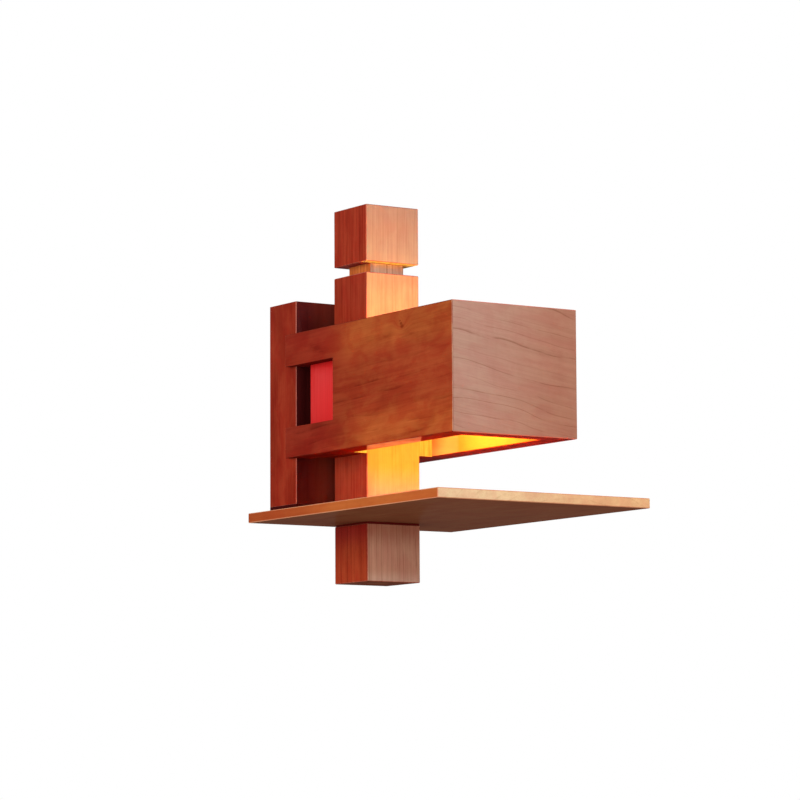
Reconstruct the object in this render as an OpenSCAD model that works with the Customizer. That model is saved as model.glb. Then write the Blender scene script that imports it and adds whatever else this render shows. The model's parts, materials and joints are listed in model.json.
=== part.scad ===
// Wall lamp with a shelf: a timber shade box, open above and below, carried on a square
// column that stands off a flat box on the wall and also carries a thin shelf.
// Origin: centre of the wall box on the wall plane. +Y goes into the wall, +Z is up.

/* [Shade] */
// Width of the shade across its side panels
shade_w = 115; // [111:1:140]
// Height of the shade
shade_h = 100; // [84:1:120]
// Distance from the wall to the front face of the shade
shade_reach = 274; // [262:1:330]
// Thickness of a side panel
side_t = 20.5; // [19:0.1:24.6]
// Thickness of the front panel
front_t = 18.5; // [12:0.5:24]
// Height of the shade's middle above the middle of the wall box
shade_mid = 4.8; // [0:0.1:10]
// Height of the window slot in a side panel
window_h = 49.5; // [30:0.5:55]
// Height of the lower tine, under the window slot
lower_tine_h = 24.6; // [20:0.1:30]
// Length of a tine that laps on the side of the wall box
lap_len = 7.8; // [4:0.1:15]
// Thickness of the lap, and the step from the shade in to the wall box
lap_t = 5.2; // [3:0.1:7]
// Depth of the red block's face inside the window slot
block_recess = 10; // [3:0.5:14]

/* [Column] */
// Width of the column
post_w = 50; // [41:0.5:55]
// Depth of the column, front to back
post_d = 48.5; // [40:0.1:58.5]
// Distance from the wall to the front face of the column
post_out = 103.5; // [100:0.5:125]
// Height of the post above the shade
post_rise = 45.5; // [30:0.5:90]
// Side of the square neck
neck_w = 31.5; // [24:0.5:38]
// Height of the neck
neck_h = 8.8; // [4:0.1:15]
// Height of the block above the neck
top_block_h = 46; // [36:0.5:80]
// Height of the block under the shelf
lower_block_h = 46; // [44:0.5:80]
// Height of the dark reveal over the lower block
reveal_h = 1.4; // [0.8:0.1:4]
// Setback of the reveal packer from the column's faces
reveal_inset = 0.5; // [0.2:0.1:6]

/* [Shelf] */
// Width of the shelf
shelf_w = 194.5; // [150:0.5:240]
// Depth of the shelf
shelf_d = 271.5; // [220:0.5:330]
// Thickness of the shelf
shelf_t = 7.7; // [6:0.1:15]
// Distance from the underside of the shade to the top of the shelf
shelf_drop = 46.5; // [38:0.5:80]

/* [Wall box] */
// Height of the wall box's sides
wall_box_h = 164; // [150:1:200]
// Depth of the wall box, from the wall to its front
wall_box_d = 40.5; // [36:0.5:46]
// Thickness of the wall box's boards
board_t = 8; // [6:0.5:9]
// Thickness of the base board's lip, under the sides and the front
foot_h = 3; // [2.8:0.1:5]
// Distance between the two wall screws
wall_screw_pitch = 60; // [50:0.5:70]
// Diameter of the wall screw holes
wall_screw_hole_d = 4.6; // [4:0.1:6]
// Diameter of the supply cable's hole
cable_d = 9; // [6:0.5:11]

/* [Lamp] */
// Outer diameter of the support tube
tube_d = 10; // [8:0.5:12]
// Inner diameter of the support tube
tube_bore_d = 7; // [6:0.5:8]
// Outer diameter of the lampholder
holder_d = 38; // [36:0.5:42]
// Length of the lampholder, cap and body together
holder_len = 42; // [38:0.5:48]
// Largest diameter of the bulb
bulb_d = 60; // [45:1:64]
// Whole length of the bulb
bulb_len = 108; // [96:1:114]

/* [Joinery] */
// Flat taken off every outer arris
arris = 0.6; // [0.3:0.1:1]
// Clearance round a screw, tube or bolt in its hole
hole_gap = 0.15; // [0.1:0.05:0.4]
// Clearance round a dowel, plug or insert
glue_gap = 0.05; // [0.05:0.01:0.1]
// Diameter of the dowels that pin the shade to the post
cheek_dowel_d = 8; // [6:0.5:10]
// Length of a dowel in each piece that it enters
dowel_grip = 12; // [9:0.5:14]
// Diameter of the shelf bolt
bolt_d = 8; // [6:1:10]

/* [Hidden] */
$fn = 64;

// Colours of the finishes
column_brown = [0.56, 0.24, 0.12];
shade_brown = [0.62, 0.28, 0.15];
front_tan = [0.72, 0.48, 0.38];
shelf_tan = [0.74, 0.44, 0.24];
block_red = [0.80, 0.10, 0.09];
dark_maroon = [0.20, 0.05, 0.04];
zinc = [0.72, 0.73, 0.74];
brass = [0.80, 0.64, 0.33];

// Places along Y, from the wall outwards
front_y = -shade_reach;
post_front_y = -post_out;
post_back_y = post_front_y + post_d;
post_mid_y = post_front_y + post_d / 2;
box_front_y = -wall_box_d;
box_inner_y = box_front_y + board_t;
tine_end_y = box_front_y + lap_len;
window_front_y = post_back_y - window_h;

// Places along Z
shade_bottom = shade_mid - shade_h / 2;
shade_top = shade_mid + shade_h / 2;
window_bottom = shade_bottom + lower_tine_h;
window_top = window_bottom + window_h;
post_top = shade_top + post_rise;
neck_top = post_top + neck_h;
shelf_top = shade_bottom - shelf_drop;
shelf_bottom = shelf_top - shelf_t;
lower_block_top = shelf_bottom - reveal_h;
lower_block_bottom = lower_block_top - lower_block_h;
tine_mids = [(shade_bottom + window_bottom) / 2, (window_top + shade_top) / 2];

// Places along X, given for the right-hand side
shade_x = shade_w / 2;
inner_x = shade_x - side_t;
post_x = post_w / 2;
cheek_t = inner_x - post_x;
box_x = shade_x - lap_t;
box_inner_x = box_x - board_t;

// The red block's clearance in its window
block_gap = 0.1;

// Shelf: its back edge stands just clear of the wall box's front plane
shelf_back_gap = 0.3;
shelf_back_y = box_front_y - shelf_back_gap;

// Fasteners and dowels
neck_dowel_d = 10;
neck_dowel_grip = 15;
shelf_dowel_d = 6;
shelf_dowel_spread = 0.6 * post_w;
shelf_dowel_grip = 15;
bolt_head_d = 13;
bolt_head_h = 8;
washer_t = 1.6;
counterbore_d = bolt_head_d + 3;
counterbore_deep = 20;
plug_t = 8;
insert_d = bolt_d + 5;
insert_h = 18;
tine_screw_d = 3.5;
tine_screw_head_d = 6.6;
tine_screw_head_h = 2.4;
tine_screw_len = 30;
tine_screw_x = box_inner_x - tine_screw_head_d / 2 - 0.4;
casing_screw_d = 4;
casing_screw_head_d = 8;
casing_screw_head_h = 2.6;
casing_screw_y = -10;
casing_screw_bite = 3;

// Bracket and what stands on it
plate_t = 2;
plate_side_gap = 2.3;
plate_end_gap = 0.3;
tab_w = 30;
tab_deep = 16;
plate_corner = 6;
plate_x = box_inner_x - plate_side_gap;
plate_z = wall_box_h / 2 - board_t - plate_end_gap;
cable_hole_z = -28;
bush_wall = 1;
bush_flange = 2.5;
bush_flange_t = 2;
earth_z = -58;
earth_screw_d = 4;
earth_head_d = 8;
earth_head_h = 2.4;
terminal_size = [20, 14, 17];
terminal_bottom = shade_mid + 19.2;
terminal_pole_x = 4.5;
terminal_mid_y = -plate_t - terminal_size.y / 2;
terminal_screw_d = 3;
terminal_head_d = 5.6;
terminal_head_h = 2;
terminal_head_deep = 3;
clamp_d = 4.4;
clamp_end_in = 1;
lead_d = 2;
lead_x = 1.3;
bend_fullness = 1.08;

// Lampholder and bulb, measured out from the face of the post
holder_r = holder_d / 2;
cap_len = 12;
cap_wall = 2;
cap_base = 3;
cap_hub_d = tube_d + 6;
cap_hub_len = 9;
socket_floor = 18;
spigot_len = 2.5;
rivet_d = 4;
shell_wall = 0.6;
shell_flange = 6;
shell_len = 21;
rim_out = 1.5;
rim_h = 4;
bulb_cap_d = 26;
bulb_cap_len = 25;
bulb_cap_wall = 0.5;
shell_d = bulb_cap_d + 1 + 2 * shell_wall;
contact_rise = 5;
contact_t = 0.5;
contact_w = 4;
insulator_h = 3;
bulb_contact_h = 1;
glass_t = 1.2;
neck_in_cap = 4;
neck_r = bulb_cap_d / 2 + 0.2;
bulb_seat = socket_floor + contact_rise;
bulb_cap_end = bulb_seat + bulb_cap_len;
bulb_mid = bulb_seat + bulb_len - bulb_d / 2;
cone_rise = bulb_mid - bulb_cap_end;
cone_angle = asin(bulb_d / 2 / norm([cone_rise, neck_r])) - atan2(neck_r, cone_rise);
tube_front = cap_hub_len - 1;
tube_back_y = box_inner_y + 9;
nut_d = 16;
nut_t = 4;
lead_end_y = post_front_y - cap_hub_len - lead_d / 2 - 0.3;
lead_tag_x = 7;
lead_turn_y = terminal_mid_y - 5;

// A rectangle whose four corners are cut off at 45 degrees.
module eased_rect(lo, hi, ease = arris) {
    polygon([
        [lo.x + ease, lo.y], [hi.x - ease, lo.y], [hi.x, lo.y + ease], [hi.x, hi.y - ease],
        [hi.x - ease, hi.y], [lo.x + ease, hi.y], [lo.x, hi.y - ease], [lo.x, lo.y + ease]
    ]);
}

// Extrudes a Y-Z outline along X, and an X-Z outline along Y, between two places.
module along_x(x0, x1) translate([x0, 0, 0]) rotate([90, 0, 90]) linear_extrude(x1 - x0) children();
module along_y(y0, y1) translate([0, y1, 0]) rotate([90, 0, 0]) linear_extrude(y1 - y0) children();
module along_z(z0, z1) translate([0, 0, z0]) linear_extrude(z1 - z0) children();

// A block between two corners, with all twelve arrises eased.
module eased_block(lo, hi) {
    intersection() {
        along_z(lo.z, hi.z) eased_rect([lo.x, lo.y], [hi.x, hi.y]);
        along_y(lo.y, hi.y) eased_rect([lo.x, lo.z], [hi.x, hi.z]);
        along_x(lo.x, hi.x) eased_rect([lo.y, lo.z], [hi.y, hi.z]);
    }
}

// A block between two corners, with sharp arrises.
module block(lo, hi) translate(lo) cube(hi - lo);

// A round bar or bore from one point along X, Y or Z.
module rod_x(from, len, d) translate(from) rotate([0, 90, 0]) cylinder(h = len, d = d);
module rod_y(from, len, d) translate(from) rotate([-90, 0, 0]) cylinder(h = len, d = d);
module rod_z(from, len, d) translate(from) cylinder(h = len, d = d);

// Turns +Z out of the face of the post, along the axis of the lamp.
module on_lamp_axis() translate([0, post_front_y, shade_mid]) rotate([90, 0, 0]) children();

// A round wire through a list of points, a little fuller at its bends.
module wire(points, d) {
    for (i = [0 : len(points) - 2]) {
        run = points[i + 1] - points[i];
        translate(points[i])
            rotate([0, acos(run.z / norm(run)), atan2(run.y, run.x)])
                cylinder(h = norm(run), d = d);
    }
    for (i = [1 : len(points) - 2]) translate(points[i]) sphere(d = d * bend_fullness);
}

// ---- Shade ----

// Where the mitre meets the eased front corner, as steps in from the sharp corner.
corner_in = arris / (side_t + front_t) * [side_t, front_t];

// Centres of the dowels and of the tine screws, in the right-hand half.
module at_cheek_dowels() for (z = tine_mids) translate([0, post_mid_y, z]) children();
module at_tine_screws() for (z = tine_mids) translate([tine_screw_x, box_inner_y, z]) children();
module cheek_dowel(gap = 0) {
    rod_x([post_x - dowel_grip, 0, 0], cheek_t + 2 * dowel_grip, cheek_dowel_d + 2 * gap);
}
module tine_screw(gap = 0) {
    rod_y([0, -tine_screw_len, 0], tine_screw_len + gap, tine_screw_d + 2 * gap);
    if (gap == 0) rod_y([0, 0, 0], tine_screw_head_h, tine_screw_head_d);
}

module side_panel() {
    difference() {
        intersection() {
            along_z(shade_bottom, shade_top) polygon([
                [shade_x, front_y + arris],
                [shade_x - corner_in.x, front_y + corner_in.y],
                [inner_x, front_y + front_t],
                [inner_x, box_front_y],
                [box_x, box_front_y],
                [box_x, tine_end_y],
                [shade_x, tine_end_y]
            ]);
            along_y(front_y, tine_end_y)
                eased_rect([inner_x, shade_bottom], [shade_x, shade_top]);
        }
        block([inner_x - 1, window_front_y, window_bottom], [shade_x + 1, 0, window_top]);
        at_cheek_dowels() cheek_dowel(glue_gap);
        at_tine_screws() tine_screw(glue_gap);
    }
}

module side_panel_left() color(shade_brown) mirror([1, 0, 0]) side_panel();
module side_panel_right() color(shade_brown) side_panel();

module front_panel() color(front_tan) intersection() {
    along_z(shade_bottom, shade_top) polygon([
        [-shade_x + arris, front_y],
        [shade_x - arris, front_y],
        [shade_x - corner_in.x, front_y + corner_in.y],
        [inner_x, front_y + front_t],
        [-inner_x, front_y + front_t],
        [-shade_x + corner_in.x, front_y + corner_in.y]
    ]);
    along_x(-shade_x, shade_x)
        eased_rect([front_y, shade_bottom], [front_y + front_t, shade_top]);
}

// The block fills the front of the window slot and sits on the cheek behind it.
module red_block() {
    block(
        [inner_x, window_front_y + block_gap, window_bottom + block_gap],
        [shade_x - block_recess, post_back_y, window_top - block_gap]
    );
}

module red_block_left() color(block_red) mirror([1, 0, 0]) red_block();
module red_block_right() color(block_red) red_block();

// The cheek packs out the space between the post and the side panel.
module cheek() {
    difference() {
        block([post_x, post_front_y, shade_bottom], [inner_x, post_back_y, shade_top]);
        at_cheek_dowels() cheek_dowel(glue_gap);
    }
}

module cheek_left() color(shade_brown) mirror([1, 0, 0]) cheek();
module cheek_right() color(shade_brown) cheek();

module cheek_dowels() color(front_tan) both_sides() at_cheek_dowels() cheek_dowel();

module tine_screws() color(zinc) both_sides() at_tine_screws() tine_screw();

module both_sides() {
    children();
    mirror([1, 0, 0]) children();
}

// ---- Column and shelf ----

// A piece of the column, between two heights.
module column_block(z0, z1) {
    eased_block([-post_x, post_front_y, z0], [post_x, post_back_y, z1]);
}

module neck_dowel_form(gap = 0) {
    rod_z(
        [0, post_mid_y, post_top - neck_dowel_grip],
        neck_h + 2 * neck_dowel_grip,
        neck_dowel_d + 2 * gap
    );
}

// Two dowels that stop the shelf and the lower block from turning on the bolt.
module shelf_dowel_forms(gap = 0) {
    for (side = [-1, 1]) rod_z(
        [side * shelf_dowel_spread / 2, post_mid_y, lower_block_top - shelf_dowel_grip],
        shelf_top - lower_block_top + 2 * shelf_dowel_grip,
        shelf_dowel_d + 2 * gap
    );
}

bolt_seat = lower_block_bottom + counterbore_deep;
bolt_end = shelf_top + insert_h - 2;

module bolt_bore() {
    rod_z([0, post_mid_y, bolt_seat - washer_t - 1], bolt_end - bolt_seat + washer_t + 3,
        bolt_d + 2 * hole_gap);
}

module tube_bore() {
    rod_y([0, front_y, shade_mid], shade_reach, tube_d + 2 * hole_gap);
}

// Between the cheeks, which are glued on flush, the post's arrises stay sharp.
module post() color(column_brown) difference() {
    union() {
        column_block(shelf_top, post_top);
        block([-post_x, post_front_y, shade_bottom], [post_x, post_back_y, shade_top]);
    }
    tube_bore();
    both_sides() at_cheek_dowels() cheek_dowel(glue_gap);
    neck_dowel_form(glue_gap);
    shelf_dowel_forms(glue_gap);
    bolt_bore();
    rod_z([0, post_mid_y, shelf_top - 1], insert_h + 1, insert_d + 2 * glue_gap);
}

module neck() color(column_brown) difference() {
    block(
        [-neck_w / 2, post_mid_y - neck_w / 2, post_top],
        [neck_w / 2, post_mid_y + neck_w / 2, neck_top]
    );
    neck_dowel_form(glue_gap);
}

module top_block() color(column_brown) difference() {
    column_block(neck_top, neck_top + top_block_h);
    neck_dowel_form(glue_gap);
}

module shelf() color(shelf_tan) difference() {
    eased_block(
        [-shelf_w / 2, shelf_back_y - shelf_d, shelf_bottom],
        [shelf_w / 2, shelf_back_y, shelf_top]
    );
    bolt_bore();
    shelf_dowel_forms(glue_gap);
}

module reveal_packer() color(dark_maroon) difference() {
    block(
        [-post_x + reveal_inset, post_front_y + reveal_inset, lower_block_top],
        [post_x - reveal_inset, post_back_y - reveal_inset, shelf_bottom]
    );
    bolt_bore();
    shelf_dowel_forms(glue_gap);
}

module lower_block() color(column_brown) difference() {
    column_block(lower_block_bottom, lower_block_top);
    rod_z([0, post_mid_y, lower_block_bottom - 1], counterbore_deep + 1, counterbore_d + 2 * glue_gap);
    bolt_bore();
    shelf_dowel_forms(glue_gap);
}

module neck_dowel() color(front_tan) neck_dowel_form();

module shelf_dowels() color(front_tan) shelf_dowel_forms();

module shelf_bolt() color(zinc) difference() {
    union() {
        rod_z([0, post_mid_y, bolt_seat - washer_t - bolt_head_h], bolt_head_h, bolt_head_d);
        rod_z([0, post_mid_y, bolt_seat - washer_t], bolt_end - bolt_seat + washer_t, bolt_d);
    }
    translate([0, post_mid_y, bolt_seat - washer_t - bolt_head_h - 1])
        cylinder(h = bolt_head_h / 2 + 1, d = bolt_d * 0.85, $fn = 6);
}

module bolt_washer() color(zinc) difference() {
    rod_z([0, post_mid_y, bolt_seat - washer_t], washer_t, counterbore_d - 1);
    bolt_bore();
}

module bolt_insert() color(brass) difference() {
    rod_z([0, post_mid_y, shelf_top], insert_h, insert_d);
    rod_z([0, post_mid_y, shelf_top - 1], insert_h + 2, bolt_d + 2 * glue_gap);
}

module bolt_plug() color(column_brown) rod_z([0, post_mid_y, lower_block_bottom], plug_t, counterbore_d);

// ---- Wall box ----

module wall_box_front() color(dark_maroon) difference() {
    along_z(-wall_box_h / 2, wall_box_h / 2) polygon([
        [-box_x + arris, box_front_y],
        [box_x - arris, box_front_y],
        [box_x - arris / 2, box_front_y + arris / 2],
        [box_inner_x, box_inner_y],
        [-box_inner_x, box_inner_y],
        [-box_x + arris / 2, box_front_y + arris / 2]
    ]);
    tube_bore();
    both_sides() at_tine_screws() tine_screw(hole_gap);
}

module wall_box_side() {
    along_z(-wall_box_h / 2, wall_box_h / 2) polygon([
        [box_x, box_front_y + arris],
        [box_x - arris / 2, box_front_y + arris / 2],
        [box_inner_x, box_inner_y],
        [box_inner_x, 0],
        [box_x, 0]
    ]);
}

module wall_box_left() color(column_brown) mirror([1, 0, 0]) wall_box_side();
module wall_box_right() color(column_brown) wall_box_side();

// The screw that holds the box's top, or its bottom, to the bracket's tab.
module casing_screw(gap = 0) {
    rod_z(
        [0, casing_screw_y, wall_box_h / 2 - board_t - plate_t - casing_screw_bite],
        board_t + plate_t + casing_screw_bite + gap,
        casing_screw_d + 2 * gap
    );
    if (gap == 0) rod_z([0, casing_screw_y, wall_box_h / 2], casing_screw_head_h, casing_screw_head_d);
}

module wall_box_end() difference() {
    block(
        [-box_inner_x, box_inner_y, wall_box_h / 2 - board_t],
        [box_inner_x, 0, wall_box_h / 2]
    );
    casing_screw(hole_gap);
}

module wall_box_top() color(column_brown) wall_box_end();

// The base board is rebated into the box, and its lip hides the head of the lower screw.
module wall_box_bottom() color(dark_maroon) mirror([0, 0, 1]) difference() {
    union() {
        wall_box_end();
        block([-box_x, box_front_y, wall_box_h / 2], [box_x, 0, wall_box_h / 2 + foot_h]);
    }
    rod_z(
        [0, casing_screw_y, wall_box_h / 2],
        foot_h + 1,
        casing_screw_head_d + 2 * hole_gap
    );
}

module top_and_bottom() {
    children();
    mirror([0, 0, 1]) children();
}

module casing_screws() color(zinc) top_and_bottom() casing_screw();

module wall_bracket() color(zinc) difference() {
    union() {
        along_y(-plate_t, 0) eased_rect([-plate_x, -plate_z], [plate_x, plate_z], plate_corner);
        top_and_bottom()
            block([-tab_w / 2, -tab_deep, plate_z - plate_t], [tab_w / 2, 0, plate_z]);
    }
    for (side = [-1, 1])
        rod_y([side * wall_screw_pitch / 2, -plate_t - 1, 0], plate_t + 2, wall_screw_hole_d);
    rod_y([0, -plate_t - 1, cable_hole_z], plate_t + 2, cable_d + 2 * (bush_wall + glue_gap));
    top_and_bottom() casing_screw(hole_gap / 2);
    earth_screw_form(hole_gap);
    terminal_fixing_form(hole_gap);
}

module cable_bush() color("dimgray") translate([0, 0, cable_hole_z]) rotate([90, 0, 0]) rotate_extrude()
    polygon([
        [cable_d / 2, 0],
        [cable_d / 2 + bush_wall, 0],
        [cable_d / 2 + bush_wall, plate_t],
        [cable_d / 2 + bush_wall + bush_flange, plate_t],
        [cable_d / 2 + bush_wall + bush_flange, plate_t + bush_flange_t / 2],
        [cable_d / 2 + bush_wall + bush_flange / 2, plate_t + bush_flange_t],
        [cable_d / 2, plate_t + bush_flange_t]
    ]);

module earth_screw_form(gap = 0) {
    rod_y([0, -plate_t, earth_z], plate_t, earth_screw_d + 2 * gap);
    if (gap == 0) rod_y([0, -plate_t - earth_head_h, earth_z], earth_head_h, earth_head_d);
}

module earth_screw() color(brass) earth_screw_form();

// ---- Terminal block ----

terminal_mid_z = terminal_bottom + terminal_size.z / 2;
terminal_front_y = -plate_t - terminal_size.y;
terminal_head_y = terminal_front_y + terminal_head_deep;

module terminal_fixing_form(gap = 0) {
    rod_y([0, terminal_head_y, terminal_mid_z], -terminal_head_y, terminal_screw_d + 2 * gap);
    rod_y([0, terminal_head_y, terminal_mid_z], terminal_head_h, terminal_head_d + 2 * gap);
}

// A brass clamp round the lead, with the screw that bears on it from the front.
module clamp_form(gap = 0) {
    rod_z(
        [0, terminal_mid_y, terminal_bottom + clamp_end_in],
        terminal_size.z - 2 * clamp_end_in,
        clamp_d + 2 * gap
    );
    rod_y(
        [0, terminal_front_y + clamp_end_in, terminal_mid_z],
        terminal_size.y / 2 - clamp_end_in,
        terminal_screw_d + 2 * gap
    );
}

module at_poles() for (side = [-1, 1]) translate([side * terminal_pole_x, 0, 0]) children();

module terminal_block() color("ivory") difference() {
    block(
        [-terminal_size.x / 2, terminal_front_y, terminal_bottom],
        [terminal_size.x / 2, -plate_t, terminal_bottom + terminal_size.z]
    );
    at_poles() {
        clamp_form(glue_gap);
        rod_z([0, terminal_mid_y, terminal_bottom - 1], terminal_size.z + 2, lead_d + 1);
        rod_y(
            [0, terminal_front_y - 1, terminal_mid_z],
            terminal_head_deep,
            terminal_screw_d + 2 * glue_gap
        );
    }
    terminal_fixing_form(glue_gap);
    rod_y(
        [0, terminal_front_y - 1, terminal_mid_z],
        terminal_head_deep + 2,
        terminal_head_d + 2 * glue_gap
    );
}

module terminal_clamps() color(brass) at_poles() difference() {
    clamp_form();
    rod_z([0, terminal_mid_y, terminal_bottom - 1], terminal_size.z + 2, lead_d + 0.3);
}

module terminal_fixing() color(zinc) terminal_fixing_form();

// A lead from the lampholder, back through the support tube and up into its clamp.
module lead(side) wire([
    [side * lead_tag_x, lead_end_y, shade_mid],
    [side * lead_x, lead_end_y, shade_mid],
    [side * lead_x, lead_turn_y, shade_mid],
    [side * terminal_pole_x, terminal_mid_y, terminal_bottom - 9.2],
    [side * terminal_pole_x, terminal_mid_y, terminal_mid_z]
], lead_d);

module live_lead() color("saddlebrown") lead(-1);
module neutral_lead() color("steelblue") lead(1);

// ---- Support tube ----

module support_tube() color(zinc) difference() {
    rod_y([0, post_front_y - tube_front, shade_mid], tube_back_y - post_front_y + tube_front, tube_d);
    rod_y([0, front_y, shade_mid], shade_reach, tube_bore_d);
}

module spacer_sleeve() color(zinc) difference() {
    rod_y([0, post_back_y, shade_mid], box_front_y - post_back_y, tube_d + 5);
    tube_bore();
}

module tube_washer() color(zinc) difference() {
    rod_y([0, box_inner_y, shade_mid], washer_t, nut_d + 4);
    tube_bore();
}

module tube_nut() color(brass) difference() {
    translate([0, box_inner_y + washer_t, shade_mid]) rotate([-90, 0, 0])
        cylinder(h = nut_t, d = nut_d, $fn = 6);
    rod_y([0, front_y, shade_mid], shade_reach, tube_d + 2 * glue_gap);
}

// ---- Lampholder and bulb ----

module lampholder_cap() color("white") on_lamp_axis() rotate_extrude() polygon([
    [tube_d / 2 + hole_gap, 0],
    [holder_r - cap_wall, 0],
    [holder_r, cap_wall],
    [holder_r, cap_len],
    [holder_r - cap_wall, cap_len],
    [holder_r - cap_wall, cap_base],
    [cap_hub_d / 2, cap_base],
    [cap_hub_d / 2, cap_hub_len],
    [tube_d / 2 + hole_gap, cap_hub_len]
]);

spigot_r = holder_r - cap_wall - glue_gap;
socket_r = shell_d / 2 + 0.3;

module lampholder_body() color("white") on_lamp_axis() rotate_extrude() polygon([
    [rivet_d / 2 + glue_gap, cap_len],
    [spigot_r - cap_wall, cap_len],
    [spigot_r - cap_wall, cap_len - spigot_len],
    [spigot_r, cap_len - spigot_len],
    [spigot_r, cap_len],
    [holder_r, cap_len],
    [holder_r, holder_len - rim_h - rim_out],
    [holder_r + rim_out, holder_len - rim_h],
    [holder_r + rim_out, holder_len - 1],
    [holder_r + rim_out - 1, holder_len],
    [socket_r, holder_len],
    [socket_r, socket_floor],
    [rivet_d / 2 + glue_gap, socket_floor]
]);

module lampholder_shell() color(brass) on_lamp_axis() rotate_extrude() polygon([
    [shell_d / 2 - shell_flange, socket_floor],
    [shell_d / 2, socket_floor],
    [shell_d / 2, socket_floor + shell_len],
    [shell_d / 2 - shell_wall, socket_floor + shell_len],
    [shell_d / 2 - shell_wall, socket_floor + shell_wall],
    [shell_d / 2 - shell_flange, socket_floor + shell_wall]
]);

// A leaf that folds back on itself and presses on the bulb's tip, riveted to the floor.
module centre_contact() color(brass) on_lamp_axis() {
    translate([0, 0, cap_len]) cylinder(h = socket_floor - cap_len + contact_t, d = rivet_d);
    translate([0, contact_w / 2, socket_floor]) rotate([90, 0, 0]) linear_extrude(contact_w) polygon([
        [-3, 0],
        [6.6, 0],
        [7, contact_t],
        [-1, contact_rise],
        [-3, contact_rise],
        [-3, contact_rise - contact_t],
        [-1.2, contact_rise - contact_t],
        [5.9, contact_t],
        [-3, contact_t]
    ]);
}

// The bulb's envelope: a globe on a cone that meets it at a tangent.
module globe_form(r) {
    translate([0, 0, bulb_mid]) sphere(r = r, $fn = 96);
    translate([0, 0, bulb_cap_end]) cylinder(
        h = cone_rise - r * sin(cone_angle),
        r1 = r / cos(cone_angle) - cone_rise * tan(cone_angle),
        r2 = r * cos(cone_angle)
    );
}

neck_plug_r = bulb_cap_d / 2 - bulb_cap_wall - glue_gap;

module bulb_glass() color([1, 0.96, 0.86]) on_lamp_axis() difference() {
    union() {
        globe_form(bulb_d / 2);
        translate([0, 0, bulb_cap_end - neck_in_cap]) cylinder(h = neck_in_cap, r = neck_plug_r);
    }
    globe_form(bulb_d / 2 - glass_t);
    translate([0, 0, bulb_cap_end - neck_in_cap - 1])
        cylinder(h = neck_in_cap + 2, r = neck_plug_r - glass_t);
}

insulator_r = bulb_cap_d / 2 - 2;

module bulb_cap() color(zinc) on_lamp_axis() rotate_extrude() polygon([
    [insulator_r + glue_gap, bulb_seat + bulb_contact_h + insulator_h],
    [bulb_cap_d / 2, bulb_seat + bulb_contact_h + insulator_h + 1.5],
    [bulb_cap_d / 2, bulb_cap_end],
    [bulb_cap_d / 2 - bulb_cap_wall, bulb_cap_end],
    [bulb_cap_d / 2 - bulb_cap_wall, bulb_seat + bulb_contact_h + insulator_h + 1.8],
    [insulator_r + glue_gap, bulb_seat + bulb_contact_h + insulator_h + 0.6]
]);

module bulb_insulator() color([0.1, 0.1, 0.12]) on_lamp_axis()
    translate([0, 0, bulb_seat + bulb_contact_h]) {
        cylinder(h = insulator_h, r1 = insulator_r / 2, r2 = insulator_r);
        translate([0, 0, insulator_h]) cylinder(h = 0.6, r = insulator_r);
    }

module bulb_contact() color(zinc) on_lamp_axis()
    translate([0, 0, bulb_seat]) cylinder(h = bulb_contact_h, d = 9);

side_panel_left();
side_panel_right();
front_panel();
red_block_left();
red_block_right();
cheek_left();
cheek_right();
post();
neck();
top_block();
shelf();
reveal_packer();
lower_block();
wall_box_front();
wall_box_left();
wall_box_right();
wall_box_top();
wall_box_bottom();
wall_bracket();
casing_screws();
cable_bush();
earth_screw();
terminal_block();
terminal_clamps();
terminal_fixing();
live_lead();
neutral_lead();
support_tube();
spacer_sleeve();
tube_washer();
tube_nut();
tine_screws();
lampholder_cap();
lampholder_body();
lampholder_shell();
centre_contact();
bulb_glass();
bulb_cap();
bulb_insulator();
bulb_contact();
neck_dowel();
cheek_dowels();
shelf_dowels();
shelf_bolt();
bolt_washer();
bolt_insert();
bolt_plug();
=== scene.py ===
import bpy
import bmesh
import json
import math
from mathutils import Matrix, Vector


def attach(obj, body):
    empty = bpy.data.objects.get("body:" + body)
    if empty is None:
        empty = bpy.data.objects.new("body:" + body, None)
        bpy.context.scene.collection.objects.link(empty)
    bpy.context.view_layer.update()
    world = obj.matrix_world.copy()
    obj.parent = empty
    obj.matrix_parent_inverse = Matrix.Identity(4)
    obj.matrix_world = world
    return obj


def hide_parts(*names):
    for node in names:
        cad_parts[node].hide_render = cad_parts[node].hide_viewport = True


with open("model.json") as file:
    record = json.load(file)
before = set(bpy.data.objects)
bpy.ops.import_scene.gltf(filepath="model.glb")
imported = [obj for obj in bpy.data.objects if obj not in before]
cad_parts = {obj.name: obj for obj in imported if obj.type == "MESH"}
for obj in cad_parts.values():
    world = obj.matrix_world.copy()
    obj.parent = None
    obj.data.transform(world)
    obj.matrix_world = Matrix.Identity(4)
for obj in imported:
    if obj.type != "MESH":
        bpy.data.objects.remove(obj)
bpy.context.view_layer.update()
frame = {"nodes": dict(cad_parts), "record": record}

mm = 0.001
print("frame loaded:", len(frame["nodes"]), "nodes")


def paint(red, green, blue):
    # a colour as a paint chart gives it, 0 to 255, made linear
    def straight(v):
        v = v / 255
        return v / 12.92 if v <= 0.04045 else ((v + 0.055) / 1.055) ** 2.4
    return (straight(red), straight(green), straight(blue), 1.0)


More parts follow.
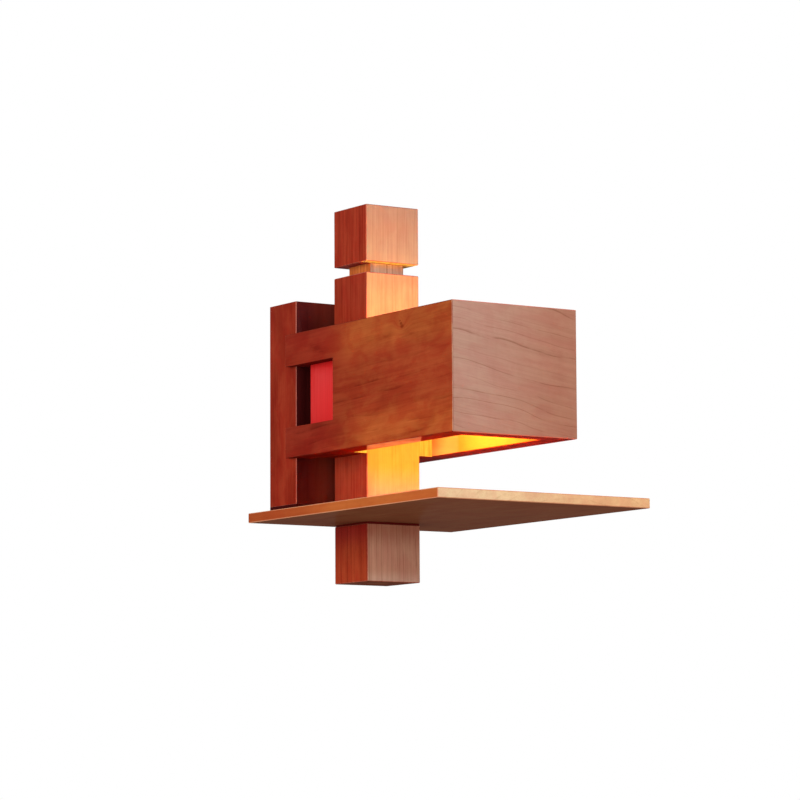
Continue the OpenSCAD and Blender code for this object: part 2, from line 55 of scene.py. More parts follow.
class Wiring:
    # short ways to add and join nodes in one tree
    def __init__(self, tree):
        self.tree = tree

    def put(self, socket, value):
        if isinstance(value, bpy.types.NodeSocket):
            self.tree.links.new(value, socket)
        else:
            socket.default_value = value

    def add(self, kind, settings=None, **sockets):
        node = self.tree.nodes.new(kind)
        for key, value in (settings or {}).items():
            setattr(node, key, value)
        for key, value in sockets.items():
            name = key.replace("_", " ")
            socket = next(s for s in node.inputs if s.name == name and s.enabled)
            self.put(socket, value)
        return node

    def math(self, operation, a, b=0.0, clamp=False):
        node = self.tree.nodes.new("ShaderNodeMath")
        node.operation = operation
        node.use_clamp = clamp
        for socket, value in zip(node.inputs, (a, b)):
            self.put(socket, value)
        return node.outputs[0]

    def plus(self, a, b):
        return self.math("ADD", a, b)

    def minus(self, a, b):
        return self.math("SUBTRACT", a, b)

    def times(self, a, b):
        return self.math("MULTIPLY", a, b)

    def over(self, a, b):
        return self.math("DIVIDE", a, b)

    def away(self, a, b):
        # how far the point (a, b) is from nought
        return self.math("SQRT", self.plus(self.times(a, a), self.times(b, b)))

    def spread(self, value, low, high, outLow=0.0, outHigh=1.0, smooth=True):
        node = self.tree.nodes.new("ShaderNodeMapRange")
        node.interpolation_type = "SMOOTHSTEP" if smooth else "LINEAR"
        for socket, v in zip(node.inputs, (value, low, high, outLow, outHigh)):
            self.put(socket, v)
        return node.outputs[0]

    def blend(self, factor, a, b, kind="MIX"):
        node = self.tree.nodes.new("ShaderNodeMix")
        node.data_type = "RGBA"
        node.blend_type = kind
        self.put(node.inputs[0], factor)
        self.put(node.inputs[6], a)
        self.put(node.inputs[7], b)
        return node.outputs[2]

    def vector(self, x, y, z):
        node = self.tree.nodes.new("ShaderNodeCombineXYZ")
        for socket, value in zip(node.inputs, (x, y, z)):
            self.put(socket, value)
        return node.outputs[0]

    def split(self, vector):
        node = self.tree.nodes.new("ShaderNodeSeparateXYZ")
        self.put(node.inputs[0], vector)
        return node.outputs

    def noise(self, vector, scale=1.0, detail=2.0, rough=0.5, distortion=0.0):
        node = self.add("ShaderNodeTexNoise", Vector=vector, Scale=scale, Detail=detail,
                        Roughness=rough, Distortion=distortion)
        return node.outputs[0]


def newMaterial(name):
    made = bpy.data.materials.new(name)
    made.use_nodes = True
    tree = made.node_tree
    tree.nodes.clear()
    wire = Wiring(tree)
    shader = wire.add("ShaderNodeBsdfPrincipled")
    out = wire.add("ShaderNodeOutputMaterial")
    tree.links.new(shader.outputs[0], out.inputs[0])
    return made, wire, shader


def relief(wire, shader, height, strength, depth):
    bump = wire.add("ShaderNodeBump", Strength=strength, Distance=depth, Height=height)
    wire.put(shader.inputs["Normal"], bump.outputs[0])


def unevenGloss(wire, shader, pattern, rough, less, more, span=(0.3, 0.7)):
    # the roughness strays a little either way with a pattern
    wire.put(shader.inputs["Roughness"], wire.spread(pattern, *span, rough - less, rough + more))


timberBase = {
    "grain": "z",              # the way the grain runs
    "pith": (0.12, 0.05),      # the heart of the tree, across the grain, in metres
    "slope": 0.0,              # how far the grain climbs in a metre
    "ringPitch": 0.0042,
    "uneven": 1.5,             # how unevenly the rings lie, in pitches
    "lineWidth": 0.2,          # width of a ring's dark line, as a share of the pitch
    "wander": 0.0022,          # how far the rings stray
    "wanderLength": 0.16,
    "breaks": (0.42, 0.60),    # where a ring's dark line comes and goes
    "rings": 0.25,             # strength of the dark ring lines
    "ringTone": 0.06,          # slow darkening from one ring to the next
    "fibre": 0.12,             # strength of the fine streaks
    "bands": 0.10,
    "pores": 0.12,
    "mottle": 0.12,
    "mottleSize": 0.03,
    "blush": 0.4,              # clouds that are redder or more golden than the rest
    "ripple": 0.05,            # faint bars across the grain, where the figure shimmers
    "seed": 0.0,
    "knots": (),               # places along and across the grain, with a size
    "patches": (),             # darker clouds: place, reach along and across, strength
    "main": (150, 56, 32),     # the colour of any face that "faces" leaves out
    "faces": {},
    "zones": (),               # parts of a side in another colour: side, colour, spans (axis, from, to)
    "slant": 0.0,              # axis 3 of a span is y with this share of x
    "calm": {},                # sides that show only a share of the figure
    "lineColour": (0.50, 0.36, 0.30),   # what the darkest line does to the colour
    # arris colours stand for light on the rounded arrises: a paler one is a painted highlight, a darker one a
    # painted shade line
    "arris": (196, 112, 92),
    "arrisMix": 0.45,
    "upright": None,           # another colour for the arrises that stand upright
    "rough": 0.5,
    "wax": 0.03,               # weight of the thin satin coat
    "waxRough": 0.28,
}
grainSizes = {                 # width and length of each pattern, across and along the grain, in metres
    "breaks": (0.008, 0.03),
    "fibre": (0.0009, 0.045),
    "bands": (0.0032, 0.10),
    "pores": (0.0005, 0.006),
    "ripple": (0.03, 0.006),
    "blush": (0.013, 0.028),
}
darkSpans = {                  # where in its noise each pattern begins and is in full
    "fibre": (0.35, 0.75),
    "bands": (0.35, 0.7),
    "pores": (0.0, 1.0),
    "mottle": (0.35, 0.7),
    "ripple": (0.4, 0.7),
}
woodLook = {
    "sway": 0.05,                        # width of the noise that leads the rings astray, in metres
    "swayShifts": (0.31, 0.77),          # a part of that noise for each way across the grain
    "growthPace": 0.45,                  # how soon wide rings turn to narrow ones
    "yearScale": 3.7,                    # so fine that each year has a strength of its own
    "poreSpan": (0.60, 0.72),
    "mottleStretch": 2.2,
    "lineEdges": (0.97, 0.975),          # a ring's line is darkest between these shares of its pitch
    "seasons": (0.3, 0.65, 0.25, 1.0),   # some years leave a strong line and others hardly any
    "blushSpan": (0.36, 0.64),
    "golden": (0.04, 0.16, 0.14),        # how much a golden cloud lifts red, green and blue
    "redder": (0.06, 0.24, 0.20),        # how much a red one lowers them
    "faceTurn": (0.72, 0.9),             # how squarely a surface faces a side, to take its colour
    "arrisTurn": (0.97, 0.86),           # how squarely it faces any side, where an arris begins and is full
    "lyingTurn": (0.25, 0.45),           # how far up or down a lying arris faces
    "heights": {"fibre": 0.5, "pores": -0.6, "rings": -0.5},
    "relief": 0.3,
    "reliefDepth": 0.0001,
}
knotLook = {
    "stretch": 1.6,            # length along the grain, in widths
    "bendReach": 5.0,          # how far out the grain bends round a knot
    "bend": 1.8,               # how far it bends there, in widths
    "core": 0.35,              # the share of its size where it is darkest
    "dark": 0.7,
}
faceSides = {
    "left": (0, -1), "right": (0, 1), "front": (1, -1), "back": (1, 1), "under": (2, -1), "top": (2, 1),
}


def timber(name, **changes):
    t = dict(timberBase, **changes)
    made, wire, shader = newMaterial(name)
    coord = wire.add("ShaderNodeTexCoord")
    x, y, z = wire.split(coord.outputs["Object"])
    across1, across2, along = {"x": (y, z, x), "y": (x, z, y), "z": (x, y, z)}[t["grain"]]

    def oval(place, lengthAlong, lengthAcross):
        # distance from a place on the side of a board, 1 at the edge of an oval
        return wire.away(wire.over(wire.minus(along, place[0]), lengthAlong),
                         wire.over(wire.minus(across2, place[1]), lengthAcross))

    knotDark, bend, cloud = 0.0, 0.0, 0.0
    for place, size in t["knots"]:
        far = oval(place, size * knotLook["stretch"], size)
        knotDark = wire.math("MAXIMUM", knotDark, wire.spread(far, 1.0, knotLook["core"]))
        bend = wire.plus(bend, wire.spread(far, knotLook["bendReach"], 0.0, 0.0, size * knotLook["bend"]))
    for place, lengthAlong, lengthAcross, strength in t["patches"]:
        far = oval(place, lengthAlong, lengthAcross)
        cloud = wire.plus(cloud, wire.spread(far, 1.0, 0.0, 0.0, strength))

    across2 = wire.plus(wire.plus(across2, wire.times(along, t["slope"])), bend)
    along = wire.plus(along, t["seed"])

    def grainNoise(width, length, detail=2.0, rough=0.6, shift=0.0, distortion=0.0):
        # noise that is drawn out along the grain
        place = wire.vector(wire.over(wire.plus(across1, shift), width),
                            wire.over(across2, width), wire.over(along, length))
        return wire.noise(place, detail=detail, rough=rough, distortion=distortion)

    # the rings round the heart of the tree stray slowly and lie unevenly
    sway = []
    for shift in woodLook["swayShifts"]:
        drift = wire.minus(grainNoise(woodLook["sway"], t["wanderLength"], shift=shift), 0.5)
        sway.append(wire.times(drift, t["wander"] * 4))    # drift mostly stays within a quarter
    radius = wire.away(wire.plus(wire.minus(across1, t["pith"][0]), sway[0]),
                       wire.plus(wire.minus(across2, t["pith"][1]), sway[1]))
    years = wire.over(radius, t["ringPitch"])
    pace = wire.times(years, woodLook["growthPace"])
    growth = wire.noise(wire.vector(pace, t["seed"] + 0.5, 0.0), detail=2.0)
    years = wire.plus(years, wire.times(growth, t["uneven"] * 2))
    ring = wire.math("FRACT", years)
    lineStart, lineEnd = woodLook["lineEdges"]
    ringLine = wire.times(wire.spread(ring, 1.0 - t["lineWidth"], lineStart), wire.spread(ring, 1.0, lineEnd))
    breaks = grainNoise(*grainSizes["breaks"], detail=3.0)
    ringLine = wire.times(ringLine, wire.spread(breaks, *t["breaks"]))
    year = wire.vector(wire.math("FLOOR", years), t["seed"] + 2.5, 0.3)
    season = wire.noise(year, scale=woodLook["yearScale"])
    ringLine = wire.times(ringLine, wire.spread(season, *woodLook["seasons"]))

    fibre = grainNoise(*grainSizes["fibre"])
    bands = grainNoise(*grainSizes["bands"], detail=3.0)
    pores = wire.spread(grainNoise(*grainSizes["pores"], detail=1.0), *woodLook["poreSpan"])
    mottle = grainNoise(t["mottleSize"], t["mottleSize"] * woodLook["mottleStretch"],
                        detail=3.0, rough=0.5, distortion=0.4)
    ripple = grainNoise(*grainSizes["ripple"])
    blush = grainNoise(*grainSizes["blush"], detail=4.0, rough=0.55, shift=0.43, distortion=0.5)

    # each side of a board gets its own colour: partly its own cut of the wood, partly painted light, a paler
    # painted sheen on fronts and painted bulb light on faces the bulb reaches
    normal = wire.split(coord.outputs["Normal"])
    base = paint(*t["main"])
    spanAxes = (x, y, z, wire.plus(y, wire.times(x, t["slant"])))

    def facing(side):
        axis, sign = faceSides[side]
        return wire.spread(wire.times(normal[axis], float(sign)), *woodLook["faceTurn"])

    for side, colour in t["faces"].items():
        shade = paint(*colour)
        for zoneSide, zoneColour, spans in t["zones"]:
            if zoneSide == side:
                hold = 1.0
                for axis, start, end in spans:
                    hold = wire.times(hold, wire.spread(spanAxes[axis], start, end))
                shade = wire.blend(hold, shade, paint(*zoneColour))
        base = wire.blend(facing(side), base, shade)

    # painted light on the rounded arrises: their colour is a painted highlight, or a painted shade line where
    # it is darker
    widest = wire.math("ABSOLUTE", normal[0])
    for other in normal[1:]:
        widest = wire.math("MAXIMUM", widest, wire.math("ABSOLUTE", other))
    dullTintAndArrisLight = wire.times(wire.spread(widest, *woodLook["arrisTurn"]), t["arrisMix"])
    edgeColour = paint(*t["arris"])
    if t["upright"]:
        lying = wire.spread(wire.math("ABSOLUTE", normal[2]), *woodLook["lyingTurn"])
        edgeColour = wire.blend(lying, paint(*t["upright"]), edgeColour)
    base = wire.blend(dullTintAndArrisLight, base, edgeColour)

    dark = wire.plus(wire.times(ringLine, t["rings"]), wire.times(ring, t["ringTone"]))
    dark = wire.plus(dark, wire.plus(cloud, wire.times(knotDark, knotLook["dark"])))
    patterns = {"fibre": fibre, "bands": bands, "pores": pores, "mottle": mottle, "ripple": ripple}
    for part, pattern in patterns.items():
        dark = wire.plus(dark, wire.times(wire.spread(pattern, *darkSpans[part]), t[part]))
    plain = (1.0, 1.0, 1.0, 1.0)
    golden = tuple(1 + t["blush"] * lift for lift in woodLook["golden"]) + (1.0,)
    redder = tuple(1 - t["blush"] * drop for drop in woodLook["redder"]) + (1.0,)
    clouds = wire.blend(wire.spread(blush, *woodLook["blushSpan"]), golden, redder)
    for side, share in t["calm"].items():
        quiet = wire.times(facing(side), 1.0 - share)
        dark = wire.times(dark, wire.minus(1.0, quiet))
        clouds = wire.blend(quiet, clouds, plain)
    line = wire.blend(wire.math("MINIMUM", dark, 1.0), plain, t["lineColour"] + (1.0,))
    base = wire.blend(1.0, base, clouds, "MULTIPLY")

    wire.put(shader.inputs["Base Color"], wire.blend(1.0, base, line, "MULTIPLY"))
    unevenGloss(wire, shader, fibre, t["rough"], less=0.05, more=0.08, span=(0.2, 0.8))
    shader.inputs["Specular IOR Level"].default_value = 0.0
    shader.inputs["Coat Weight"].default_value = t["wax"]
    shader.inputs["Coat Roughness"].default_value = t["waxRough"]
    heights = woodLook["heights"]
    height = wire.plus(wire.times(fibre, heights["fibre"]), wire.times(pores, heights["pores"]))
    height = wire.plus(height, wire.times(ringLine, heights["rings"]))
    relief(wire, shader, height, woodLook["relief"], woodLook["reliefDepth"])
    return made


def lacquer(name, colour, streakColour, rough, streakSize=(0.0016, 0.0016, 0.06)):
    made, wire, shader = newMaterial(name)
    coord = wire.add("ShaderNodeTexCoord")
    place = [wire.over(part, size) for part, size in zip(wire.split(coord.outputs["Object"]), streakSize)]
    lines = wire.noise(wire.vector(*place), detail=3.0)
    wire.put(shader.inputs["Base Color"],
             wire.blend(wire.spread(lines, 0.35, 0.75), paint(*colour), paint(*streakColour)))
    unevenGloss(wire, shader, lines, rough, less=0.04, more=0.06)
    shader.inputs["Specular IOR Level"].default_value = 0.12
    relief(wire, shader, lines, strength=0.25, depth=0.00008)
    return made


def speckled(name, colour, fineScale, fineDetail, cloudScale, dull, rough, less, more, strength):
    # a fine grain, and clouds that are a little duller than the rest
    made, wire, shader = newMaterial(name)
    coord = wire.add("ShaderNodeTexCoord")
    fine = wire.noise(coord.outputs["Object"], scale=fineScale, detail=fineDetail)
    cloud = wire.noise(coord.outputs["Object"], scale=cloudScale, detail=3.0)
    tint = paint(*colour)
    dullTintAndArrisLight = tuple(c * dull for c in tint[:3]) + (1.0,)
    wire.put(shader.inputs["Base Color"], wire.blend(wire.spread(cloud, 0.35, 0.75), tint, dullTintAndArrisLight))
    unevenGloss(wire, shader, fine, rough, less, more)
    relief(wire, shader, fine, strength, depth=0.00005)
    return made, shader


def metal(name, colour, rough):
    made, shader = speckled(name, colour, fineScale=2500.0, fineDetail=3.0, cloudScale=90.0, dull=0.86,
                            rough=rough, less=0.06, more=0.1, strength=0.12)
    shader.inputs["Metallic"].default_value = 1.0
    return made


def moulded(name, colour, rough, glaze=0.0, dull=0.88):
    made, shader = speckled(name, colour, fineScale=1 / 0.0006, fineDetail=2.0, cloudScale=60.0, dull=dull,
                            rough=rough, less=0.04, more=0.06, strength=0.1)
    shader.inputs["Coat Weight"].default_value = glaze
    shader.inputs["Coat Roughness"].default_value = 0.08
    return made


bulbLook = {"glass": (250, 244, 230), "rough": 0.32, "glow": (255, 208, 108), "strength": 35.0}


def litGlass(name):
    made, wire, shader = newMaterial(name)
    coord = wire.add("ShaderNodeTexCoord")
    frost = wire.noise(coord.outputs["Object"], scale=1200.0, detail=2.0)
    unevenGloss(wire, shader, frost, bulbLook["rough"], less=0.0, more=0.1)
    shader.inputs["Base Color"].default_value = paint(*bulbLook["glass"])
    shader.inputs["Emission Color"].default_value = paint(*bulbLook["glow"])
    shader.inputs["Emission Strength"].default_value = bulbLook["strength"]
    return made


print("material makers ready")


def addObject(name, data):
    made = bpy.data.objects.new(name, data)
    bpy.context.scene.collection.objects.link(made)
    return made


def finishPiece(piece, nodes):
    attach(piece, "root")
    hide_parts(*nodes)


softening = {
    "weld": 2e-6,              # the CAD's loose triangles are joined within this
    "flat": 0.4,               # faces that meet within this angle are one face, in degrees
    "arris": 0.00022,          # the usual width of a rounded arris
    "arrisAngle": 30,
    "facetWidth": 0.0012,      # a facet of a round part is narrower than this
    "facetStretch": 1.5,       # and at least this many times as long
}


def curvedFace(mesh, face):
    corners = [mesh.vertices[i].co for i in face.vertices]
    sides = [(a - b).length for a, b in zip(corners, corners[1:] + corners[:1])]
    narrow = min(sides) < softening["facetWidth"] and max(sides) > softening["facetStretch"] * min(sides)
    return len(corners) == 4 and narrow


def softened(node, material, width=softening["arris"], ending="_timber"):
    # the node's own shape with its arrises rounded off
    work = bmesh.new()
    work.from_mesh(frame["nodes"][node].data)
    bmesh.ops.remove_doubles(work, verts=work.verts, dist=softening["weld"])
    bmesh.ops.dissolve_limit(work, angle_limit=math.radians(softening["flat"]),
                             verts=work.verts, edges=work.edges)
    bmesh.ops.dissolve_degenerate(work, dist=softening["weld"], edges=work.edges)
    bmesh.ops.recalc_face_normals(work, faces=work.faces)
    mesh = bpy.data.meshes.new(node + ending)
    work.to_mesh(mesh)
    work.free()
    for face in mesh.polygons:
        face.use_smooth = ending == "_timber" or curvedFace(mesh, face)
    mesh.materials.append(material)
    piece = addObject(node + ending, mesh)
    bevel = piece.modifiers.new("roundedArris", "BEVEL")
    bevel.width = width
    bevel.segments = 2
    bevel.limit_method = "ANGLE"
    bevel.angle_limit = math.radians(softening["arrisAngle"])
    bevel.harden_normals = True
    finishPiece(piece, [node])


slotOf = {part["node"]: part["material_slot"] for part in frame["record"]["subparts"]}

# colours as on a paint chart; places, sizes and spans in metres
# the paler front colour here is partly painted sheen
shadeFaces = {"left": (160, 66, 36), "under": (120, 30, 24), "front": (184, 140, 116)}
# the cheeks' yellow front is painted bulb light
cheekFaces = dict(shadeFaces, front=(184, 168, 97))
# the paler front is partly painted sheen; the golden underside is painted bulb light
columnFaces = {"left": (167, 58, 37), "front": (182, 134, 112), "under": (206, 150, 84)}
wallBoxRed = (153, 50, 31)
panelRed = (158, 64, 35)
# pale arrises: a painted highlight
palePink = dict(arris=(214, 128, 112), arrisMix=0.85)
columnFigure = dict(
    grain="z", ringPitch=0.0043, lineWidth=0.18, rings=0.68, ringTone=0.10, breaks=(0.36, 0.5),
    bands=0.36, fibre=0.34, wander=0.0016, uneven=2.2, blush=0.7)
panelFigure = dict(
    grain="y", ringPitch=0.010, lineWidth=0.30, rings=0.50, wander=0.005, bands=0.20, mottle=0.30,
    # dark lying arrises are a painted shade line, pale upright ones a painted highlight
    mottleSize=0.024, breaks=(0.46, 0.64), blush=1.1, fibre=0.16, main=panelRed,
    arris=(124, 40, 28), arrisMix=0.7, upright=(226, 192, 166), slant=-1.576,
    # left sides paler above and below the window towards the front, and darker towards the wall, a painted
    # shade
    zones=(("left", (173, 83, 41), ((2, 0.020, 0.042), (1, -0.09, -0.14))),
           ("left", (178, 86, 42), ((2, -0.006, -0.036), (1, -0.10, -0.16))),
           ("left", (148, 47, 30), ((1, -0.14, -0.08),)),
           # painted reflection: the strip of rim where the lit post's mirror image falls
           ("under", (186, 148, 144), ((3, -0.0625, -0.0655), (3, -0.142, -0.139), (0, 0.01, -0.01))),
           # painted light: the front part of the far panel's inner face, deeper in tone where the bulb's
           # light is stronger than in the lampholder's shadow
           ("left", (212, 117, 54), ((1, -0.139, -0.1435), (0, 0.02, 0.03)))))
shadeTimber = {
    "side_panel_left": dict(
        panelFigure, pith=(-0.16, 0.10), seed=0.0, slope=0.04,
        knots=(((-0.2049, 0.0422), 0.0021), ((-0.2036, 0.0445), 0.0016), ((-0.2022, 0.0468), 0.0011)),
        patches=(((-0.135, 0.003), 0.06, 0.03, 0.22), ((-0.198, 0.036), 0.013, 0.010, -0.35)),
        # the paler inner face is painted bulb light
        faces=dict(shadeFaces, right=(204, 140, 80))),
    "side_panel_right": dict(
        panelFigure, pith=(0.17, -0.08), seed=0.7, calm={"left": 0.2},
        # the pale inner face is painted bulb light
        faces=dict(shadeFaces, left=(212, 194, 142))),
    "front_panel": dict(
        grain="x", pith=(-0.30, 0.14), seed=1.3, slope=0.15, ringPitch=0.0098, lineWidth=0.15, rings=0.52,
        ringTone=0.04, mottle=0.10, wander=0.006, wanderLength=0.11, breaks=(0.38, 0.56), blush=0.35,
        # the paler back is painted bulb light, and the paler front partly painted sheen
        main=panelRed, faces={"front": (177, 138, 122), "back": (204, 140, 80), "under": (120, 30, 24)},
        zones=(("front", (166, 115, 95), ((0, -0.06, 0.055),)),), **palePink),
    "cheek_left": dict(columnFigure, pith=(0.06, -0.2), seed=2.1, arrisMix=0.0, faces=cheekFaces),
    "cheek_right": dict(columnFigure, pith=(-0.06, -0.2), seed=2.6, arrisMix=0.0, faces=cheekFaces),
}
columnTimber = {
    "post": dict(
        columnFigure, pith=(0.11, 0.04), seed=3.3, rings=0.50, lineWidth=0.12, calm={"front": 0.55},
        faces=columnFaces,
        # painted bulb light on the front inside and below the shade, and painted bounce light on the left
        # below the shade
        zones=(("front", (184, 144, 82), ((2, 0.045, -0.04),)),
               ("front", (184, 150, 164), ((2, -0.052, -0.088),)),
               ("left", (172, 68, 46), ((2, -0.03, -0.05),))), **palePink),
    "neck": dict(
        columnFigure, pith=(0.10, 0.03), seed=4.1, main=(190, 100, 50),
        # its sides are lighter than the post's: painted bulb light
        faces={"left": (222, 124, 62), "front": (208, 177, 154)}, **palePink),
    "top_block": dict(
        columnFigure, pith=(0.115, 0.035), seed=4.9, arrisMix=0.5, calm={"front": 0.45},
        # painted bulb light: a golden underside, with painted shade on its back left part, and the front's
        # lower part in another tone where the bulb's light falls
        faces=dict(columnFaces, front=(161, 128, 113), under=(200, 178, 116)),
        zones=(("front", (158, 136, 124), ((2, 0.142, 0.114),)),
               ("under", (180, 80, 68), ((0, -0.012, -0.0165), (1, -0.0975, -0.0935))))),
    "lower_block": dict(
        columnFigure, pith=(0.105, 0.045), seed=5.5, arrisMix=0.5, calm={"front": 0.6},
        faces={"left": (176, 67, 38), "front": (210, 151, 124), "under": (112, 56, 33)},
        # painted shadow of the shelf: front and left darker at the top; the front paler towards the bottom
        zones=(("front", (180, 115, 90), ((2, -0.124, -0.104),)),
               ("front", (222, 172, 148), ((2, -0.136, -0.1468),)),
               ("left", (165, 46, 35), ((2, -0.124, -0.104),)))),
    "bolt_plug": dict(grain="y", pith=(0.03, -0.2), seed=5.9, faces={"under": (118, 62, 37)}),
    "wall_box_left": dict(
        grain="z", pith=(-0.02, 0.06), seed=6.4, blush=1.1, mottle=0.46, fibre=0.30,
        faces={"left": (157, 52, 32)}, **palePink),
    "wall_box_right": dict(grain="z", pith=(0.03, 0.07), seed=7.0, main=wallBoxRed, **palePink),
    "wall_box_top": dict(grain="x", pith=(0.05, 0.11), seed=7.7, main=wallBoxRed),
}
shelfTimber = {
    "shelf": dict(
        grain="y", pith=(0.03, -0.22), seed=9.1, ringPitch=0.009, rings=0.3, main=(190, 112, 64),
        # the pale arrises are a painted highlight
        arris=(226, 156, 118), arrisMix=0.75,
        faces={"left": (188, 100, 48), "front": (228, 196, 155), "top": (226, 182, 136),
               "under": (120, 69, 45)},
        zones=(("front", (222, 174, 128), ((0, -0.09, 0.07),)),
               ("left", (168, 77, 38), ((1, -0.185, -0.10),)))),
}
darkTimber = {
    # the wall box's dark front is partly dark stain and partly painted shade, lighter towards the middle as
    # painted light that comes past the post
    "wall_box_front": dict(
        grain="z", pith=(0.01, 0.05), seed=10.2, main=(98, 33, 30),
        faces={"front": (82, 24, 24)}, zones=(("front", (128, 50, 38), ((0, -0.045, -0.02),)),), **palePink),
    # the near-black underside is painted shade
    "wall_box_bottom": dict(grain="x", pith=(0.05, -0.11), seed=8.2, main=(64, 10, 8), arris=(90, 24, 20)),
    "reveal_packer": dict(grain="x", pith=(0.05, -0.2), seed=10.9, main=(100, 20, 16), arris=(90, 24, 18)),
}
# post and cheeks are planed flush with each other, so their arrises stay sharp
sharpPieces = ("post", "cheek_left", "cheek_right")
sharpArris = 0.00005
for group in (shadeTimber, columnTimber, shelfTimber, darkTimber):
    for node, look in group.items():
        softened(node, timber(node + "Timber", **look),
                 sharpArris if node in sharpPieces else softening["arris"])
redLacquer = lacquer("redLacquer", (211, 28, 27), (201, 24, 24), 0.4)
for node in ("red_block_left", "red_block_right"):
    softened(node, redLacquer)
print("timber pieces made")

finishes = {
    "zinc_steel": metal("zincSteel", (190, 192, 194), 0.36),
    "brass": metal("brass", (206, 172, 96), 0.28),
    "bulb_nickel": metal("bulbNickel", (200, 196, 186), 0.25),
    "holder_porcelain": moulded("holderPorcelain", (232, 230, 222), 0.2, glaze=0.6, dull=0.96),
    "black_insulator": moulded("blackInsulator", (34, 34, 38), 0.6),
    "terminal_plastic": moulded("terminalPlastic", (226, 222, 206), 0.45),
    "lead_brown": moulded("leadBrown", (104, 60, 34), 0.45),
    "lead_blue": moulded("leadBlue", (44, 92, 168), 0.45),
    "dowel_wood": timber("dowelTimber", pith=(0.02, 0.02), main=(206, 176, 138), arris=(214, 186, 150)),
    "bulb_glass": litGlass("bulbGlass"),
}


def sizedTree(name, sizes):
    # a tree that takes a mesh, its sizes by name and a finish
    tree = bpy.data.node_groups.new(name, "GeometryNodeTree")
    tree.interface.new_socket("Geometry", in_out="INPUT", socket_type="NodeSocketGeometry")
    for size in sizes:
        tree.interface.new_socket(size, in_out="INPUT", socket_type="NodeSocketFloat")
    tree.interface.new_socket("Finish", in_out="INPUT", socket_type="NodeSocketMaterial")
    tree.interface.new_socket("Geometry", in_out="OUTPUT", socket_type="NodeSocketGeometry")
    given = {socket.name: socket for socket in tree.nodes.new("NodeGroupInput").outputs if socket.name}
    return Wiring(tree), given


def endTree(wire, given, shape):
    real = wire.add("GeometryNodeRealizeInstances", Geometry=shape)
    finished = wire.add("GeometryNodeSetMaterial", Geometry=real.outputs[0], Material=given["Finish"])
    out = wire.tree.nodes.new("NodeGroupOutput")
    wire.tree.links.new(finished.outputs[0], out.inputs[0])
    return wire.tree


def showRound(mesh, angle=35):
    for face in mesh.polygons:
        face.use_smooth = True
    mesh.set_sharp_from_angle(angle=math.radians(angle))


def growPiece(name, mesh, tree, sizes, node):
    # runs the tree on the mesh and keeps the result as a plain mesh
    piece = addObject(name, mesh)
    growth = piece.modifiers.new(name, "NODES")
    growth.node_group = tree
    for item in tree.interface.items_tree:
        if item.in_out == "INPUT" and item.socket_type != "NodeSocketGeometry":
            growth[item.identifier] = finishes[slotOf[node]] if item.name == "Finish" else sizes[item.name]
    shown = piece.evaluated_get(bpy.context.evaluated_depsgraph_get())
    plain = bpy.data.meshes.new_from_object(shown)
    piece.modifiers.clear()
    piece.data = plain
    bpy.data.meshes.remove(mesh)
    plain.name = name
    showRound(plain)
    finishPiece(piece, [node])


def seats(name, places):
    # points that carry the way each screw or dowel faces
    mesh = bpy.data.meshes.new(name)
    mesh.from_pydata([Vector(place) * mm for place, facing in places], [], [])
    facings = mesh.attributes.new("facing", "FLOAT_VECTOR", "POINT")
    for item, (place, facing) in zip(facings.data, places):
        item.vector = facing
    return mesh


def setOnSeats(wire, given, shape, twist=0.0):
    facing = wire.add("GeometryNodeInputNamedAttribute", {"data_type": "FLOAT_VECTOR"}, Name="facing")
    towards = wire.add("FunctionNodeAlignRotationToVector", {"axis": "Z"}, Vector=facing.outputs[0])
    chance = wire.add("FunctionNodeRandomValue", {"data_type": "FLOAT"}, Min=0.0, Max=twist, Seed=11)
    spin = wire.add("FunctionNodeEulerToRotation", Euler=wire.vector(0.0, 0.0, chance.outputs[1]))
    turn = wire.add("FunctionNodeRotateRotation", {"rotation_space": "LOCAL"},
                    Rotation=towards.outputs[0], Rotate_By=spin.outputs[0])
    return wire.add("GeometryNodeInstanceOnPoints", Points=given["Geometry"], Instance=shape,
                    Rotation=turn.outputs[0]).outputs[0]


def position(wire):
    return wire.split(wire.add("GeometryNodeInputPosition").outputs[0])


def cylinder(wire, width, length, around, sides=1, rings=1):
    return wire.add("GeometryNodeMeshCylinder", Vertices=around, Side_Segments=sides, Fill_Segments=rings,
                    Radius=wire.times(width, 0.5), Depth=length).outputs[0]


def circle(wire, radius, around):
    return wire.add("GeometryNodeCurvePrimitiveCircle", Resolution=around, Radius=radius).outputs[0]


def tube(wire, curve, section):
    return wire.add("GeometryNodeCurveToMesh", Curve=curve, Profile_Curve=section, Fill_Caps=True).outputs[0]


def moved(wire, shape, offset, only=None):
    return wire.add("GeometryNodeSetPosition", Geometry=shape, Offset=wire.vector(*offset),
                    Selection=True if only is None else only).outputs[0]


def joined(wire, *parts):
    join = wire.tree.nodes.new("GeometryNodeJoinGeometry")
    for part in parts:
        wire.tree.links.new(part, join.inputs[0])
    return join.outputs[0]


screwShares = {
    "domeFall": 0.45,          # of the head's height
    "cutter": 1.3,             # of the head's width
    "core": 0.82,              # this and the next three are of the shank's width
    "threadRadius": 0.43,
    "ridgeRadius": 0.068,
    "bareEnd": 0.15,
    "pointLoss": 0.9,          # how much of the width goes at the tip
}


